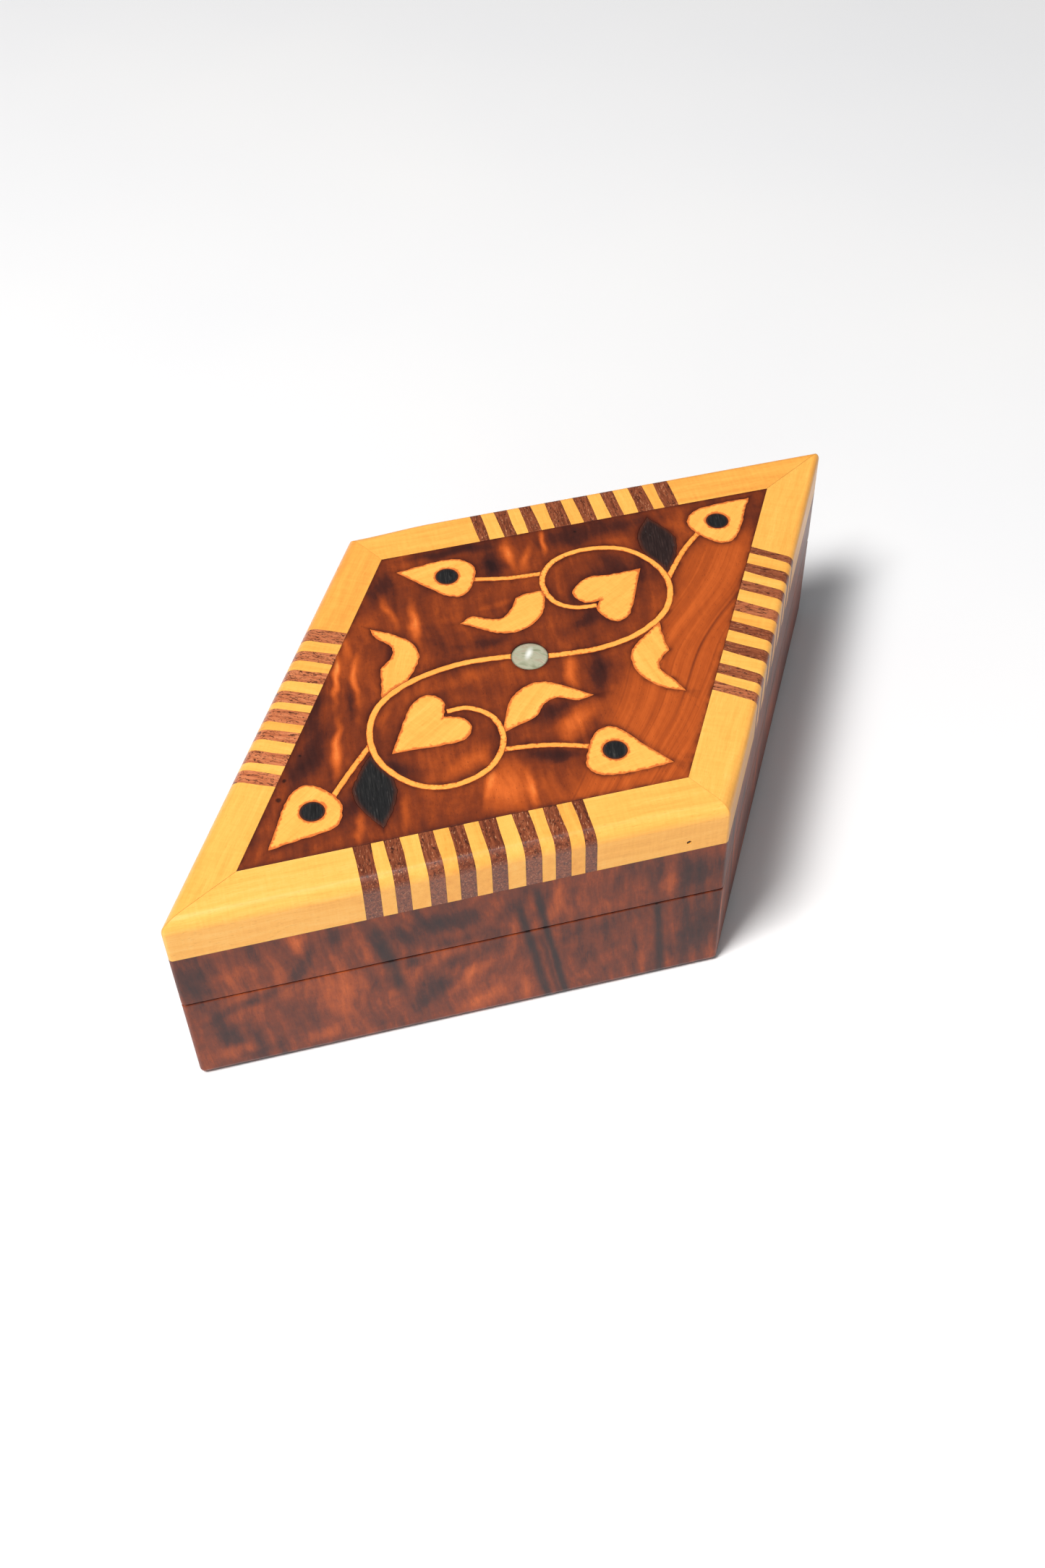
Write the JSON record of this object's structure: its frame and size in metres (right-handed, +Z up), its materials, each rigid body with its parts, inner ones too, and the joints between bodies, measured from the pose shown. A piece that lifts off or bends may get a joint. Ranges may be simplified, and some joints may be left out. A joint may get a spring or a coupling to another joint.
{
  "type": "inlaid wooden box",
  "caption": "Rhombus-plan wooden box with a hinged lid, a light wood frame with striped blocks and an inlaid scroll design.",
  "frame": {"origin": "centre of the underside, on the surface the box stands on", "axes": "+X along the front side to the right, +Y from the front side to the hinged back side, +Z up"},
  "size_m": [0.1722, 0.1012, 0.0532],
  "materials": {
    "thuya": "polished lacquer over reddish brown figured thuya",
    "lemonwood": "polished lacquer over yellow lemonwood",
    "striped_wood": "polished lacquer over laminated walnut and lemonwood strips",
    "ebony": "polished lacquer over near-black wood",
    "nacre": "polished mother-of-pearl",
    "brass": "plain brass hinge hardware",
    "steel": "darkened steel pin head"
  },
  "bodies": {
    "base": {"base_back_wall": "thuya", "base_floor": "thuya", "base_front_wall": "thuya", "base_left_wall": "thuya", "base_right_wall": "thuya", "hinge_left_base_leaf": "brass", "hinge_left_pin": "brass", "hinge_right_base_leaf": "brass", "hinge_right_pin": "brass", "screw_left_base_a": "brass", "screw_left_base_b": "brass", "screw_right_base_a": "brass", "screw_right_base_b": "brass"},
    "lid": {"brad": "steel", "curl_left": "lemonwood", "curl_lower": "lemonwood", "curl_right": "lemonwood", "curl_upper": "lemonwood", "dot_lower_left": "ebony", "dot_lower_right": "ebony", "dot_upper_left": "ebony", "dot_upper_right": "ebony", "frame_back_first": "lemonwood", "frame_back_second": "lemonwood", "frame_front_first": "lemonwood", "frame_front_second": "lemonwood", "frame_left_first": "lemonwood", "frame_left_second": "lemonwood", "frame_right_first": "lemonwood", "frame_right_second": "lemonwood", "heart_lower": "lemonwood", "heart_upper": "lemonwood", "hinge_left_lid_leaf": "brass", "hinge_right_lid_leaf": "brass", "leaf_lower": "ebony", "leaf_upper": "ebony", "lid_back_wall": "thuya", "lid_front_wall": "thuya", "lid_left_wall": "thuya", "lid_panel": "thuya", "lid_right_wall": "thuya", "pearl": "nacre", "screw_left_lid_a": "brass", "screw_left_lid_b": "brass", "screw_right_lid_a": "brass", "screw_right_lid_b": "brass", "scroll_lower": "lemonwood", "scroll_upper": "lemonwood", "stem_lower_left": "lemonwood", "stem_lower_right": "lemonwood", "stem_upper_left": "lemonwood", "stem_upper_right": "lemonwood", "striped_block_back": "striped_wood", "striped_block_front": "striped_wood", "striped_block_left": "striped_wood", "striped_block_right": "striped_wood", "teardrop_lower_left": "lemonwood", "teardrop_lower_right": "lemonwood", "teardrop_upper_left": "lemonwood", "teardrop_upper_right": "lemonwood"}
  },
  "joints": [
    {"name": "lid_hinge", "type": "hinge", "parent": "base", "child": "lid", "pos_m": [0, 0.04839, 0.0263], "axis": [-1, 0, 0], "range_deg": [0, 100]}
  ]
}
